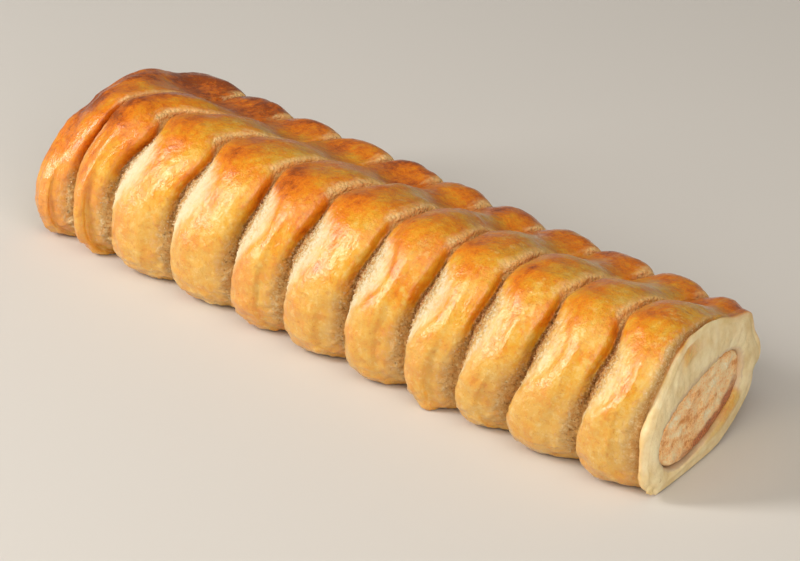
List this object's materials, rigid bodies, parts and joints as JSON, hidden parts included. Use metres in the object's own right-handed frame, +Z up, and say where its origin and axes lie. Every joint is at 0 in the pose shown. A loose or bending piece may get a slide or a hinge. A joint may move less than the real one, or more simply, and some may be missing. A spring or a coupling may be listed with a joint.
{
  "type": "pastry roll",
  "caption": "Long baked puff pastry roll, slit across its top into leaning bands, around a core of minced filling that shows at both cut ends.",
  "frame": {"origin": "under the middle of the roll's bounding box, on the flat base it rests on", "axes": "+X along the roll to the slanted cut end with the lip, -Y the front with the wide slits, +Z up"},
  "size_m": [0.2018, 0.0607, 0.0374],
  "materials": {
    "pastry": "baked golden brown, egg-glazed and glossy on the crests, pale and rough in the slits",
    "filling": "moist minced filling with a browned edge"
  },
  "bodies": {
    "root": {"pastry": "pastry", "filling": "filling"}
  },
  "joints": []
}
